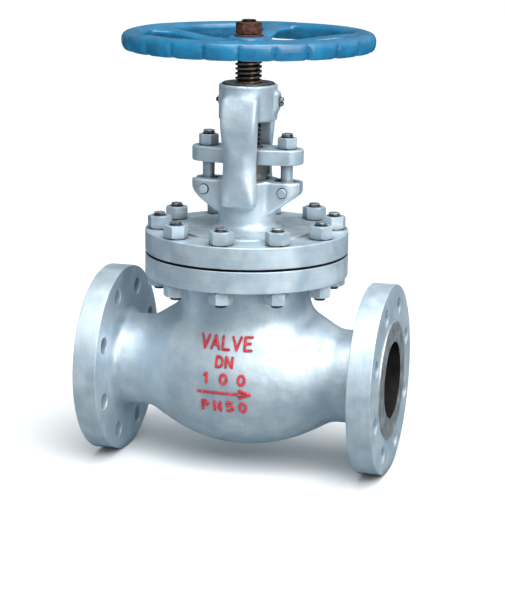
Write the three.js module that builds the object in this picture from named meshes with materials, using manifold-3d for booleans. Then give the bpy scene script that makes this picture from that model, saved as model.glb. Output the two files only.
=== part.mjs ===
// Globe valve, NPS 4, outside screw and yoke, with a rising stem and handwheel. Millimetres, +Z up.
// The origin is where the stem axis crosses the bore axis, and +X points downstream.
import * as THREE from "three";
import { mergeVertices } from "three/addons/utils/BufferGeometryUtils.js";
import Module from "manifold-3d";

const wasm = await Module();
wasm.setup();

// Driving dimensions
const GAP = 0.3; // left between pieces that touch
const FACE_TO_FACE = 406;
const BORE_R = 51;
const END_FLANGE = { r: 127, thick: 34, faceR: 78.6, faceHigh: 2, holes: 8, pcr: 100.1, holeR: 11 };
const HUB_R = 62;
const BULB = { r: 103, span: 124, fillet: 12 }; // its parabola meets the hub at the span
const NECK = { outerR: 86, boreR: 72 };
const JOINT = { r: 135.2, bottom: 131.8, bodyTop: 160.6, bonnetBottom: 163.6, top: 191.6 };
const BOLTING = { count: 10, pcr: 116, holeR: 8.8, studR: 8, nutFlats: 28, nutHigh: 17, tip: 4.5 };
const SEAT = { portR: 48, wallLow: 2, wallHigh: 18, threadR: 53, top: 24 };
const LIFT = 28; // travel from shut to open, and the pieces are drawn open
const STEM_R = 17.5;
const BOX = { bore: 25.7, outerR: 38, bottom: 206, top: 258 };
const YOKE_HUB = { r: 38.5, bottom: 337, top: 384 };
const ARM = { wide: 50, inner: 35, outer: 51 };
const GLAND = { boltX: 53.7, tipR: 22, flangeLow: 281, flangeHigh: 301, boltR: 8, pinZ: 245, pinR: 6 };
const FOLLOWER = { r: 25.3, headR: 27, bottom: 240.2, head: 270, top: 288 };
const WHEEL = { r: 166, rimZ: 441, hubR: 26, hubLow: 420, hubHigh: 445, lobes: 23, spokes: 5 };
const KEY = { half: 4, near: 10, far: 17.8 }; // half its width, and its start and end from the stem axis
const ROUND = 32; // sides of a large circle

const COLOURS = {
  paint: { color: 0xc3ccd8, roughness: 0.45, metalness: 0.3 },
  blue: { color: 0x1478b8, roughness: 0.35, metalness: 0.1 },
  steel: { color: 0x54504c, roughness: 0.4, metalness: 0.9 },
  bronze: { color: 0x8c6b3a, roughness: 0.4, metalness: 0.9 },
  rust: { color: 0x4a221c, roughness: 0.7, metalness: 0.4 },
  graphite: { color: 0x2a2a2c, roughness: 0.8, metalness: 0.1 },
};

// Solid helpers

function solid(geometry) {
  const bare = new THREE.BufferGeometry().setAttribute("position", geometry.getAttribute("position"));
  if (geometry.index) bare.setIndex(geometry.index);
  const merged = mergeVertices(bare, 1e-4);
  return new wasm.Manifold(
    new wasm.Mesh({
      numProp: 3,
      vertProperties: new Float32Array(merged.attributes.position.array),
      triVerts: new Uint32Array(merged.index.array),
    }),
  );
}

function geometryOf(body) {
  const mesh = body.getMesh();
  const step = mesh.numProp;
  const points = new Float32Array(mesh.numVert * 3);
  for (let i = 0; i < mesh.numVert; i++) {
    points.set(mesh.vertProperties.subarray(i * step, i * step + 3), i * 3);
  }
  return new THREE.BufferGeometry()
    .setAttribute("position", new THREE.BufferAttribute(points, 3))
    .setIndex(new THREE.BufferAttribute(mesh.triVerts, 1));
}

const join = (...bodies) => bodies.reduce((a, b) => a.add(b));
const cut = (body, ...tools) => tools.reduce((a, b) => a.subtract(b), body);
const copies = (count, make) => Array.from({ length: count }, (_, i) => make(i));

// A profile of [radius, height] points, turned about the Z axis. It runs up the outside of the piece.
function turned(profile, sides = ROUND) {
  const points = profile.map(([r, h]) => new THREE.Vector2(r, h));
  return new THREE.LatheGeometry(points, sides).rotateX(Math.PI / 2);
}

// The same ring profile closed on itself, for a piece with a hole through it.
const ring = (profile, sides) => turned([...profile, profile[0]], sides);

// The same profile turned about the X axis, with the heights along X.
const turnedX = (profile, sides) => turned(profile, sides).rotateY(Math.PI / 2);

function rod(r, low, high, sides = 16) {
  const middle = (low + high) / 2;
  return new THREE.CylinderGeometry(r, r, high - low, sides).rotateX(Math.PI / 2).translate(0, 0, middle);
}

const rodX = (r, low, high, sides) => rod(r, low, high, sides).rotateY(Math.PI / 2);
const rodY = (r, low, high, sides) => rod(r, low, high, sides).rotateX(-Math.PI / 2);

function block(low, high) {
  const size = high.map((v, i) => v - low[i]);
  const middle = high.map((v, i) => (v + low[i]) / 2);
  return new THREE.BoxGeometry(...size).translate(...middle);
}

const outline = (points) => new THREE.Shape(points.map(([a, b]) => new THREE.Vector2(a, b)));

// A flat outline in XY, raised from low to high.
function plate(shape, low, high, steps = 12) {
  const options = { depth: high - low, bevelEnabled: false, curveSegments: steps };
  return new THREE.ExtrudeGeometry(shape, options).translate(0, 0, low);
}

// An outline drawn in XZ, reaching from y = low to y = high.
const slabXZ = (points, low, high) => plate(outline(points), -high, -low).rotateX(Math.PI / 2);

function hexagon(flats) {
  const corner = flats / Math.sqrt(3);
  const step = Math.PI / 3;
  return outline(copies(6, (i) => [corner * Math.cos(i * step), corner * Math.sin(i * step)]));
}

function around(count, radius, first, make) {
  return copies(count, (i) => {
    const angle = first + (i * 2 * Math.PI) / count;
    return make(radius * Math.cos(angle), radius * Math.sin(angle), i);
  });
}

const group = new THREE.Group();

function place(name, geometry, finish, x = 0, y = 0, z = 0) {
  const mesh = new THREE.Mesh(geometry, new THREE.MeshStandardMaterial(finish));
  mesh.name = name;
  mesh.position.set(x, y, z);
  group.add(mesh);
}

// Body casting

// The body's outer radius about the bore axis: a parabola that runs into the hub through a fillet.
function bulbRadius(x) {
  const parabola = BULB.r - (BULB.r - HUB_R) * (x / BULB.span) ** 2;
  const near = Math.max(BULB.fillet - Math.abs(parabola - HUB_R), 0);
  return Math.max(parabola, HUB_R) + near ** 2 / (4 * BULB.fillet);
}

// Half of the bulb's outline, as distances from the stem axis and radii about the bore axis.
const HALF_BULB = [0, 24, 46, 68, 90, 108, 124, 142].map((x) => [x, bulbRadius(x)]);

function endFlangeProfile() {
  const face = FACE_TO_FACE / 2;
  const back = face - END_FLANGE.thick;
  const { r, faceR, faceHigh } = END_FLANGE;
  return [
    [HUB_R, back - 18],
    [HUB_R + 3, back - 7],
    [HUB_R + 10, back],
    [r - 2, back],
    [r, back + 2],
    [r, face - faceHigh - 2],
    [r - 2, face - faceHigh],
    [faceR, face - faceHigh],
    [faceR, face],
    [0, face],
  ];
}

function bodyOutside(proud = 0) {
  const right = HALF_BULB.map(([x, r]) => [r + proud, x]);
  const half = [...right, ...endFlangeProfile()];
  const mirrored = half.slice(1).reverse().map(([r, x]) => [r, -x]);
  return solid(turnedX([...mirrored, ...half]));
}

// The saddle where the neck runs down into the two hubs, oval in plan.
function neckSaddle() {
  const profile = [
    [0, 40],
    [142, 50],
    [136, 63],
    [114, 76.5],
    [98, 93],
    [88, 106],
    [NECK.outerR, 116],
    [0, 116],
  ];
  return solid(turned(profile).scale(1, 0.6, 1));
}

function bodyHollow() {
  const wall = 13;
  const end = FACE_TO_FACE / 2 + 1;
  const right = HALF_BULB.filter(([x]) => x < 120).map(([x, r]) => [r - wall, x]);
  const half = [...right, [BORE_R, 132], [BORE_R, end], [0, end]];
  const mirrored = half.slice(1).reverse().map(([r, x]) => [r, -x]);
  return join(solid(turnedX([...mirrored, ...half])), solid(rod(NECK.boreR, 30, JOINT.bodyTop + 1, ROUND)));
}

// The S-shaped wall between the inlet, which runs under the seat, and the outlet above it.
function seatWall() {
  const { wallLow, wallHigh } = SEAT;
  const side = 64;
  const wall = [
    [-142, 84],
    [-142, 66],
    [-side - 6, wallLow],
    [side, wallLow],
    [128, -76],
    [142, -70],
    [side + 6, wallHigh],
    [-side, wallHigh],
    [-126, 84],
  ];
  return cut(solid(slabXZ(wall, -100, 100)), solid(rod(SEAT.threadR + GAP, -20, 60, ROUND)));
}

function flowArrow() {
  const y = -BULB.r - 5;
  const arrow = [
    [-36, -12],
    [18, -12],
    [18, -16],
    [35, -9],
    [18, -2],
    [18, -6],
    [-36, -6],
  ];
  return solid(slabXZ(arrow, y, -60)).intersect(bodyOutside(1.6));
}

function bodyCasting() {
  const neck = solid(rod(NECK.outerR, 20, JOINT.bottom + 1, ROUND));
  const flange = solid(rod(JOINT.r, JOINT.bottom, JOINT.bodyTop, ROUND + 4));
  const { thick, holes, pcr, holeR } = END_FLANGE;
  const face = FACE_TO_FACE / 2;
  const first = Math.PI / holes;
  const endHoles = [-1, 1].flatMap((side) =>
    around(holes, pcr, first, (y, z) =>
      solid(rodX(holeR, -thick, thick, 12).translate(side * (face - thick / 2), y, z)),
    ),
  );
  const studHoles = around(BOLTING.count, BOLTING.pcr, -Math.PI / 2, (x, y) =>
    solid(rod(BOLTING.holeR, JOINT.bottom - 4, JOINT.bodyTop + 4, 12).translate(x, y, 0)),
  );
  const shell = join(bodyOutside(), neckSaddle(), neck, flange, flowArrow());
  return cut(shell, bodyHollow().subtract(seatWall()), ...endHoles, ...studHoles);
}

// Seat, disc and stem

function seatRing() {
  const { portR, wallHigh, threadR, top } = SEAT;
  return ring([
    [portR, 3],
    [threadR, 3],
    [threadR, wallHigh + GAP],
    [threadR + 4, wallHigh + GAP],
    [threadR + 4, top],
    [portR + 3.5, top],
    [portR, top - 3.5],
  ]);
}

const HEAD = { r: 21, low: 73.5, high: 84.5 }; // the swivel head at the stem's foot

function disc() {
  const open = SEAT.top + LIFT;
  return turned([
    [0, open - 8],
    [47, open - 8],
    [47.5, open - 3.6],
    [51.8, open + 0.7],
    [55, open + 0.7],
    [55, open + 13],
    [36, open + 20],
    [36, 100],
    [27.3, 100],
    [27.3, HEAD.high + GAP],
    [HEAD.r + GAP, HEAD.high + GAP],
    [HEAD.r + GAP, HEAD.low - GAP],
    [0, HEAD.low - GAP],
  ]);
}

function discNut() {
  return ring(
    [
      [14, HEAD.high + 2 * GAP],
      [27, HEAD.high + 2 * GAP],
      [27, 106],
      [14, 106],
    ],
    24,
  );
}

const BACKSEAT = { low: 152, high: 172, r: 24.6 };

function stem() {
  const collar = BACKSEAT.low - 1;
  const profile = [
    [0, HEAD.low],
    [HEAD.r, HEAD.low],
    [HEAD.r, HEAD.high],
    [13.5, HEAD.high],
    [13.5, 126],
    [22, 132],
    [22, collar - 6],
    [STEM_R, collar],
    [STEM_R, 416],
    [14, 419.5],
    [14, WHEEL.hubHigh - 1],
    [10, WHEEL.hubHigh - 1],
    [10, 466],
    [9, 467],
    [0, 467],
  ];
  const half = KEY.half + 0.2;
  const keyway = block([-half, KEY.near - 0.4, WHEEL.hubLow + 2.7], [half, 20, WHEEL.hubHigh - 0.4]);
  return cut(solid(turned(profile, 32)), solid(keyway));
}

// Bonnet with its yoke

function lugs() {
  const { boltX, tipR } = GLAND;
  const shape = new THREE.Shape();
  shape.absarc(boltX, 0, tipR, -Math.PI / 2, Math.PI / 2);
  shape.absarc(-boltX, 0, tipR, Math.PI / 2, (3 * Math.PI) / 2);
  const root = BOX.outerR;
  const reach = boltX + tipR + 4;
  const side = [
    [-reach, 246],
    [-root, 216],
    [root, 216],
    [reach, 246],
    [reach, BOX.top],
    [-reach, BOX.top],
  ];
  return solid(plate(shape, 210, BOX.top + 1)).intersect(solid(slabXZ(side, -30, 30)));
}

// One arm of the yoke, drawn from the side and then given its width, on the -Y or the +Y side.
function yokeArm(side) {
  const { inner, outer, wide } = ARM;
  const edge = 7;
  const shape = new THREE.Shape();
  shape.moveTo(20, 226);
  shape.lineTo(outer - 6 - edge, 226);
  shape.lineTo(outer - edge, 236);
  shape.lineTo(outer - edge, 340);
  shape.quadraticCurveTo(outer - edge, 366, 30, 369);
  shape.lineTo(20, 369);
  shape.lineTo(20, 344);
  shape.lineTo(32, 340);
  shape.quadraticCurveTo(inner + edge, 332, inner + edge, 320);
  shape.lineTo(inner + edge, 250);
  shape.lineTo(20, 250);
  const arm = new THREE.ExtrudeGeometry(shape, {
    depth: wide - 2 * edge,
    bevelThickness: edge,
    bevelSize: edge,
    bevelSegments: 2,
    curveSegments: 5,
  });
  arm.translate(0, 0, edge - wide / 2);
  // The outline's first axis goes to Y and its second to Z, so the width lies along X.
  const turn = new THREE.Matrix4().set(0, 0, 1, 0, 1, 0, 0, 0, 0, 1, 0, 0, 0, 0, 0, 1);
  arm.applyMatrix4(turn);
  if (side < 0) arm.rotateZ(Math.PI);
  return solid(arm);
}

const BOSS = { screw: 43, nipple: 38.8, high: 362 }; // how far the yoke hub's two bosses reach from the axis

function bonnetOutside() {
  const { outerR, top } = BOX;
  const { r, bottom, top: hubTop } = YOKE_HUB;
  const body = turned(
    [
      [0, 150],
      [NECK.boreR - 0.6, 150],
      [NECK.boreR - 0.6, JOINT.bonnetBottom],
      [JOINT.r, JOINT.bonnetBottom],
      [JOINT.r, JOINT.top],
      [94, JOINT.top],
      [93, JOINT.top + 3],
      [outerR + 8, JOINT.top + 3],
      [outerR + 2, JOINT.top + 7],
      [outerR, JOINT.top + 14],
      [outerR, top],
      [0, top],
    ],
    ROUND + 4,
  );
  const hub = turned([
    [0, bottom],
    [r - 2.5, bottom],
    [r, bottom + 4],
    [r, hubTop - 1.5],
    [r - 1.5, hubTop],
    [0, hubTop],
  ]);
  const lug = [
    [30, 376],
    [39, 376],
    [BOSS.screw, 371],
    [BOSS.screw, 350],
    [38, 341],
    [30, 341],
  ];
  const nippleBoss = solid(rodX(6, -BOSS.nipple, -30, 12)).translate(0, 0, BOSS.high);
  const arms = [yokeArm(-1), yokeArm(1)];
  return join(solid(body), lugs(), ...arms, solid(hub), solid(slabXZ(lug, -9, 9)), nippleBoss);
}

function bonnet() {
  const { boltX, boltR, pinZ, pinR } = GLAND;
  const slot = 8.8;
  const stemWay = turned([
    [0, 149],
    [BACKSEAT.r + GAP, 149],
    [BACKSEAT.r + GAP, BACKSEAT.high + GAP],
    [STEM_R + 1.2, BACKSEAT.high + GAP],
    [STEM_R + 1.2, BOX.bottom],
    [BOX.bore, BOX.bottom],
    [BOX.bore, BOX.top + 5],
    [0, BOX.top + 5],
  ]);
  const nutWay = turned([
    [0, YOKE_HUB.bottom - 5],
    [28.3, YOKE_HUB.bottom - 5],
    [28.3, YOKE_HUB.top - 5],
    [34.3, YOKE_HUB.top - 5],
    [34.3, YOKE_HUB.top + 5],
    [0, YOKE_HUB.top + 5],
  ]);
  const slots = [-1, 1].map((side) => {
    const near = side * (boltX - 15);
    const far = side * 90;
    return solid(block([Math.min(near, far), -slot, 210], [Math.max(near, far), slot, BOX.top + 5]));
  });
  const pinHoles = [-boltX, boltX].map((x) => solid(rodY(pinR + GAP, -30, 30).translate(x, 0, pinZ)));
  const studHoles = around(BOLTING.count, BOLTING.pcr, -Math.PI / 2, (x, y) =>
    solid(rod(BOLTING.holeR, JOINT.bonnetBottom - 4, JOINT.top + 9, 12).translate(x, y, 0)),
  );
  const screwHole = solid(rodX(4.3, 25, 60, 12).translate(0, 0, BOSS.high));
  const nippleHole = solid(rodX(3.3, -60, -35.2, 12).translate(0, 0, BOSS.high));
  const ways = [solid(stemWay), solid(nutWay), screwHole, nippleHole];
  return cut(bonnetOutside(), ...ways, ...slots, ...pinHoles, ...studHoles);
}

// Small pieces

function nut(flats, boltR, high) {
  const shape = hexagon(flats);
  shape.holes.push(new THREE.Path().absarc(0, 0, boltR + GAP, 0, 2 * Math.PI));
  return plate(shape, 0, high, 8);
}

function stud(r, low, high) {
  const edge = 1.5;
  return turned(
    [
      [0, low],
      [r - edge, low],
      [r, low + edge],
      [r, high - edge],
      [r - edge, high],
      [0, high],
    ],
    12,
  );
}

function bushing(innerR, outerR, low, high, sides = 24) {
  return ring(
    [
      [innerR, low],
      [outerR, low],
      [outerR, high],
      [innerR, high],
    ],
    sides,
  );
}

function yokeNut() {
  const inner = STEM_R + GAP;
  const { bottom, top } = YOKE_HUB;
  return ring([
    [inner, bottom - 1],
    [26, bottom - 1],
    [28, bottom + 1],
    [28, top - 5 + GAP],
    [34, top - 5 + GAP],
    [34, top + 2],
    [inner, top + 2],
  ]);
}

function follower() {
  const { r, headR, bottom, head, top } = FOLLOWER;
  const inner = STEM_R + GAP;
  const profile = [
    [inner, bottom],
    [r, bottom],
    [r, head],
    [headR, head],
    [headR, top],
    [inner, top],
  ];
  return ring(profile, 24);
}

function glandFlange() {
  const { boltX, tipR, flangeLow, flangeHigh, boltR } = GLAND;
  const waist = 31.5; // radius of the middle, which is narrower than the two ends
  const turn = 1.25; // half the arc of each end, in radians
  const shape = new THREE.Shape();
  shape.absarc(boltX, 0, tipR, -turn, turn);
  shape.absarc(0, 0, waist, turn, Math.PI - turn);
  shape.absarc(-boltX, 0, tipR, Math.PI - turn, Math.PI + turn);
  shape.absarc(0, 0, waist, Math.PI + turn, 2 * Math.PI - turn);
  const holes = [-boltX, boltX].map((x) => solid(rod(boltR + 1, 270, 310).translate(x, 0, 0)));
  const headR = FOLLOWER.headR + GAP;
  const top = FOLLOWER.top + GAP;
  const seat = turned([
    [0, 275],
    [headR, 275],
    [headR, top],
    [STEM_R + 1.5, top],
    [STEM_R + 1.5, 310],
    [0, 310],
  ]);
  return cut(solid(plate(shape, flangeLow, flangeHigh)), solid(seat), ...holes);
}

function eyebolt() {
  const { boltR, pinZ, pinR } = GLAND;
  const eye = solid(rodY(14, -8, 8, 20).translate(0, 0, pinZ));
  const shank = solid(stud(boltR, pinZ, 321));
  return cut(join(eye, shank), solid(rodY(pinR + GAP, -20, 20).translate(0, 0, pinZ)));
}

function lockScrew() {
  const seat = BOSS.screw + GAP;
  const body = join(solid(rodX(4, 28.4, seat + 1, 12)), solid(rodX(6, seat, seat + 4, 12)));
  return cut(body, solid(block([seat + 2, -8, -0.8], [seat + 9, 8, 0.8]))).translate(0, 0, BOSS.high);
}

function greaseNipple() {
  const profile = [
    [0, 36],
    [3, 36],
    [3, BOSS.nipple + GAP],
    [5, BOSS.nipple + GAP],
    [5, BOSS.nipple + 1.8],
    [2.2, BOSS.nipple + 2.4],
    [3, BOSS.nipple + 4],
    [2, BOSS.nipple + 5],
    [0, BOSS.nipple + 5],
  ];
  return turned(profile, 12).rotateY(-Math.PI / 2).translate(0, 0, BOSS.high);
}

// Handwheel

// The rim's section, from its outermost point: out, up, and the share of each finger groove it takes.
const RIM_SECTION = [
  [-24.5, 6, 0],
  [-23.5, -2, 0],
  [-15, -10, 1],
  [-7, -13, 2],
  [-1, -9, 3],
  [0, 0, 2.4],
  [-3, 9, 1],
  [-11, 12, 0],
  [-20, 11, 0],
];

function rim() {
  const perLobe = 3;
  const steps = WHEEL.lobes * perLobe;
  const count = RIM_SECTION.length;
  const points = [];
  const faces = [];
  for (let i = 0; i < steps; i++) {
    const angle = (i * 2 * Math.PI) / steps;
    const groove = i % perLobe === 0 ? 1 : 0;
    RIM_SECTION.forEach(([out, rise, share], j) => {
      const radius = WHEEL.r + out - share * groove;
      const z = WHEEL.rimZ + rise + share * groove * 0.5;
      points.push(radius * Math.cos(angle), radius * Math.sin(angle), z);
      const next = (i + 1) % steps;
      const up = (j + 1) % count;
      const [a, b, c, d] = [i * count + j, next * count + j, next * count + up, i * count + up];
      faces.push(a, b, c, a, c, d);
    });
  }
  const geometry = new THREE.BufferGeometry();
  geometry.setAttribute("position", new THREE.Float32BufferAttribute(points, 3));
  geometry.setIndex(faces);
  return solid(geometry);
}

// A spoke that dips on its way out and widens into the rim.
function spoke(angle) {
  // Each station: distance from the axis, height, half width and half thickness.
  const stations = [
    [18, 434, 15, 8],
    [45, 434, 12, 6.5],
    [80, 437, 11, 5.5],
    [115, 442, 12, 5.5],
    [135, 444, 16, 5.5],
    [148, 444, 24, 5],
  ];
  const sides = 8;
  const points = [];
  const faces = [];
  stations.forEach(([r, z, half, thick], i) => {
    for (let j = 0; j < sides; j++) {
      const turn = ((j + 0.5) * 2 * Math.PI) / sides;
      points.push(r, half * Math.cos(turn), z + thick * Math.sin(turn));
      if (i === stations.length - 1) continue;
      const up = (j + 1) % sides;
      const [a, b] = [i * sides + j, (i + 1) * sides + j];
      const [c, d] = [(i + 1) * sides + up, i * sides + up];
      faces.push(a, b, c, a, c, d);
    }
  });
  const last = (stations.length - 1) * sides;
  for (let j = 1; j < sides - 1; j++) {
    faces.push(0, j, j + 1, last, last + j + 1, last + j);
  }
  const geometry = new THREE.BufferGeometry();
  geometry.setAttribute("position", new THREE.Float32BufferAttribute(points, 3));
  geometry.setIndex(faces);
  const made = solid(geometry);
  const facing = made.volume() < 0 ? solid(geometry.setIndex(faces.reverse())) : made;
  return facing.rotate([0, 0, (angle * 180) / Math.PI]);
}

function handwheel() {
  const { hubR, hubLow, hubHigh, spokes } = WHEEL;
  const hub = turned([
    [0, hubLow],
    [hubR - 3, hubLow],
    [hubR, hubLow + 6],
    [hubR, hubHigh - 4],
    [hubR - 4, hubHigh],
    [0, hubHigh],
  ]);
  const first = THREE.MathUtils.degToRad(91);
  const arms = around(spokes, 1, first, (x, y) => spoke(Math.atan2(y, x)));
  const bore = solid(rod(14.3, hubLow - 5, hubHigh + 5, 32));
  const half = KEY.half + 0.5;
  const keyway = solid(block([-half, 8, hubLow - 5], [half, KEY.far + 0.4, hubHigh + 5]));
  return cut(join(rim(), solid(hub), ...arms), bore, keyway);
}

// Assembly

place("body_casting", geometryOf(bodyCasting()), COLOURS.paint);
place("seat_ring", seatRing(), COLOURS.steel);
place("bonnet", geometryOf(bonnet()), COLOURS.paint);
const gasket = bushing(76, 96, JOINT.bodyTop + GAP, JOINT.bonnetBottom - GAP, ROUND);
place("bonnet_gasket", gasket, COLOURS.graphite);
place("backseat_bushing", bushing(STEM_R + 0.5, BACKSEAT.r, BACKSEAT.low, BACKSEAT.high), COLOURS.steel);

around(BOLTING.count, BOLTING.pcr, -Math.PI / 2, (x, y, i) => {
  const { studR, nutFlats, nutHigh, tip } = BOLTING;
  const low = JOINT.bottom - GAP - nutHigh;
  const high = JOINT.top + GAP;
  place(`bonnet_stud_${i + 1}`, stud(studR, low - tip, high + nutHigh + tip), COLOURS.paint, x, y);
  place(`upper_nut_${i + 1}`, nut(nutFlats, studR, nutHigh), COLOURS.paint, x, y, high);
  place(`lower_nut_${i + 1}`, nut(nutFlats, studR, nutHigh), COLOURS.paint, x, y, low);
});

const PACKING_HIGH = 8;
copies(4, (i) => {
  const low = BOX.bottom + GAP + i * (PACKING_HIGH + GAP);
  const packing = bushing(STEM_R + 0.25, BOX.bore - GAP, low, low + PACKING_HIGH);
  place(`packing_ring_${i + 1}`, packing, COLOURS.graphite);
});

place("gland_follower", follower(), COLOURS.steel);
place("gland_flange", geometryOf(glandFlange()), COLOURS.paint);
for (const [side, x] of [["left", -GLAND.boltX], ["right", GLAND.boltX]]) {
  place(`gland_eyebolt_${side}`, geometryOf(eyebolt()), COLOURS.steel, x);
  place(`gland_pin_${side}`, rodY(GLAND.pinR, -25, 25, 12), COLOURS.steel, x, 0, GLAND.pinZ);
  place(`gland_nut_${side}`, nut(24, GLAND.boltR, 14.5), COLOURS.paint, x, 0, GLAND.flangeHigh + GAP);
}

place("yoke_nut", yokeNut(), COLOURS.bronze);
place("yoke_lock_screw", geometryOf(lockScrew()), COLOURS.steel);
place("grease_nipple", greaseNipple(), COLOURS.steel);
place("disc", disc(), COLOURS.steel);
place("disc_nut", discNut(), COLOURS.steel);
place("stem", geometryOf(stem()), COLOURS.steel);
place("handwheel", geometryOf(handwheel()), COLOURS.blue);
const key = block([-KEY.half, KEY.near, WHEEL.hubLow + 3], [KEY.half, KEY.far, WHEEL.hubHigh - 1]);
place("wheel_key", key, COLOURS.steel);
place("wheel_washer", bushing(10.3, 19, WHEEL.hubHigh + GAP, WHEEL.hubHigh + 3), COLOURS.rust);
place("wheel_nut", nut(30, 10, 16), COLOURS.rust, 0, 0, WHEEL.hubHigh + 3 + GAP);

export default group;
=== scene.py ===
"""Looks for a rising-stem globe valve with an outside screw and yoke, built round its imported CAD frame.

Shapes are worked out in millimetres and turned into metres when a mesh is made. The frame's origin is
where the stem axis crosses the bore axis, +X points downstream and +Z runs up the stem.
"""

import math
import random

import bmesh
import bpy
import numpy as np
from mathutils import Matrix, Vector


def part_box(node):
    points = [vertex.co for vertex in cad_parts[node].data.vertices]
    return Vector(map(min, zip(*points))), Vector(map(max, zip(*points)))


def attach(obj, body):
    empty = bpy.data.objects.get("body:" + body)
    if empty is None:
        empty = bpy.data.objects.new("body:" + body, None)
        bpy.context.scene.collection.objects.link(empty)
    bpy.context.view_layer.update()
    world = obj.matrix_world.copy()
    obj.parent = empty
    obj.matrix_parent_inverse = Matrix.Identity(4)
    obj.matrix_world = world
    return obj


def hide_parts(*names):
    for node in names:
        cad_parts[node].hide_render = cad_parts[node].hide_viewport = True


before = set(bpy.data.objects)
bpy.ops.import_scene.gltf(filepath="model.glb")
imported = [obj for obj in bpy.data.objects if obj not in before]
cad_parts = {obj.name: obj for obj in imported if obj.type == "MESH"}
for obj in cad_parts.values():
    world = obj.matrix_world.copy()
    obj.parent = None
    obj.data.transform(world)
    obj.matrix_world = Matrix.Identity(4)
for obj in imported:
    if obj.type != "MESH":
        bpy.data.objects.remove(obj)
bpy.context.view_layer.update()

MM = 0.001
COARSE = 1.0
ROUND = 128  # sides of a turned piece
dice = random.Random(4)


# ------------------------------------------------------------ sizes, in mm, most of them from the frame


def span(node):
    """Lowest and highest corner of a CAD node."""
    low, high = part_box(node)
    return np.array(low) / MM, np.array(high) / MM


def heights(node):
    low, high = span(node)
    return low[2], high[2]


def middle(node):
    low, high = span(node)
    return (low + high) / 2


FACE = span("body_casting")[1][0]
END_R = -span("body_casting")[0][2]
BODY_TOP = span("body_casting")[1][2]
SPIGOT_LOW, HUB_TOP = heights("bonnet")
JOINT_R = span("bonnet")[1][1]
WHEEL_R = 166
WHEEL_LOW, WHEEL_TOP = heights("handwheel")
STUD_LOW, STUD_TOP = heights("bonnet_stud_1")
JOINT_TOP = heights("upper_nut_1")[0] - 0.3
JOINT_LOW = heights("lower_nut_1")[1] + 0.3

# Body casting
END_THICK = 34
END_BACK = FACE - END_THICK
RAISED_R, RAISED_HIGH = 78.6, 2
END_HOLES, END_HOLE_R, END_CIRCLE_R = 8, 11, 100.1
BORE_R = 51
HUB_R = 62
BULB_R, BULB_SPAN = 103, 124  # the bulb's parabola falls from its own radius to the hub's over this distance
WALL = 13
NECK_R, NECK_BORE_R = 86, 72
SADDLE_HIGH, SADDLE_SQUEEZE = 91, 0.45  # where the neck starts to run into the hubs, and its width in Y to X
STUD_COUNT, STUD_CIRCLE_R = 10, 116
STUD_R = span("bonnet_stud_1")[1][0] - middle("bonnet_stud_1")[0]
STUD_HOLE_R = STUD_R + 0.8
# Bonnet, yoke and gland
BONNET_LOW, SPIGOT_R = 163.6, 71.4
STEP_R, STEP_HIGH = 94, 3
STEM_R = 17.5
BOX_R, BOX_BORE, BOX_LOW, BOX_TOP = 38, 25.7, 206, 258
GLAND_X, LUG_R = 53.7, 22
FLANGE_LOW, FLANGE_HIGH = heights("gland_flange")
WAIST_R, GLAND_TURN = 31.5, 1.25  # the gland flange's middle, and half the arc of each end in radians
PIN_Z, PIN_R, PIN_HALF = 245, 6, 25
YOKE_R, YOKE_LOW = 38.5, 337
ARM_IN, ARM_OUT, ARM_HALF = 35, 51, 25
BOSS_Z, BOSS_X = 362, 43  # the lock screw's boss on the yoke hub: its height and reach
# Handwheel and stem
LOBES, SPOKES, FIRST_SPOKE = 23, 5, math.radians(91)
WHEEL_HUB_R, WHEEL_HUB_TOP, WHEEL_BORE_R = 26, 445, 14.3
STEM_PITCH, STUD_PITCH = 6, 2
THREAD_LOW, THREAD_TOP = 300, 416


# ------------------------------------------------------------ distances that castings are made from


def soft_min(a, b, k):
    """The nearer of two surfaces, with a fillet about k wide where they meet."""
    near = np.clip(k - np.abs(a - b), 0, None)
    return np.minimum(a, b) - near * near / (4 * k)


def soft_max(a, b, k):
    return -soft_min(-a, -b, k)


def drum(radial, along, r, low, high, edge=3):
    """A drum of radius r between two heights along its axis, its edges rounded."""
    half = (high - low) / 2
    return soft_max(radial - r, np.abs(along - low - half) - half, edge)


def smooth(t):
    t = np.clip(t, 0, 1)
    return t * t * (3 - 2 * t)


def segment(x, z, start, end):
    """Distance to a straight segment in the XZ plane."""
    run = np.subtract(end, start)
    along = np.clip(((x - start[0]) * run[0] + (z - start[1]) * run[1]) / (run @ run), 0, 1)
    return np.hypot(x - start[0] - along * run[0], z - start[1] - along * run[1])


def bulb(x, across, inset=0):
    drop = (BULB_R - HUB_R) * (x / BULB_SPAN) ** 2
    slope = 2 * (BULB_R - HUB_R) * x / BULB_SPAN**2
    return (across - BULB_R + drop + inset) / np.sqrt(1 + slope * slope)


def body_outside(x, y, z):
    """The body casting without its machined rims: bulb, hubs and neck, run together with fillets."""
    across, out, side = np.hypot(y, z), np.hypot(x, y), np.abs(x)
    hubs = drum(across, x, HUB_R, -END_BACK - 8, END_BACK + 8)
    ends = drum(across, side, END_R - 6, END_BACK + 0.4, FACE - 6)
    neck = drum(out, z, NECK_R, 0, JOINT_LOW + 20)
    ring = drum(out, z, JOINT_R - 6, JOINT_LOW + 0.4, JOINT_LOW + 22)
    shape = soft_min(soft_max(bulb(x, across), side - 150, 6), hubs, 6)
    shape = soft_min(shape, ends, 14)
    wide = np.hypot(x, y / SADDLE_SQUEEZE)
    slope = (z - SADDLE_HIGH + 0.7 * (wide - NECK_R)) / 1.6
    saddle = soft_max(slope, np.abs(z - 80) - 28, 6)
    shape = soft_min(soft_min(shape, saddle, 7), neck, 14)
    return soft_min(shape, ring, 12)


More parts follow.
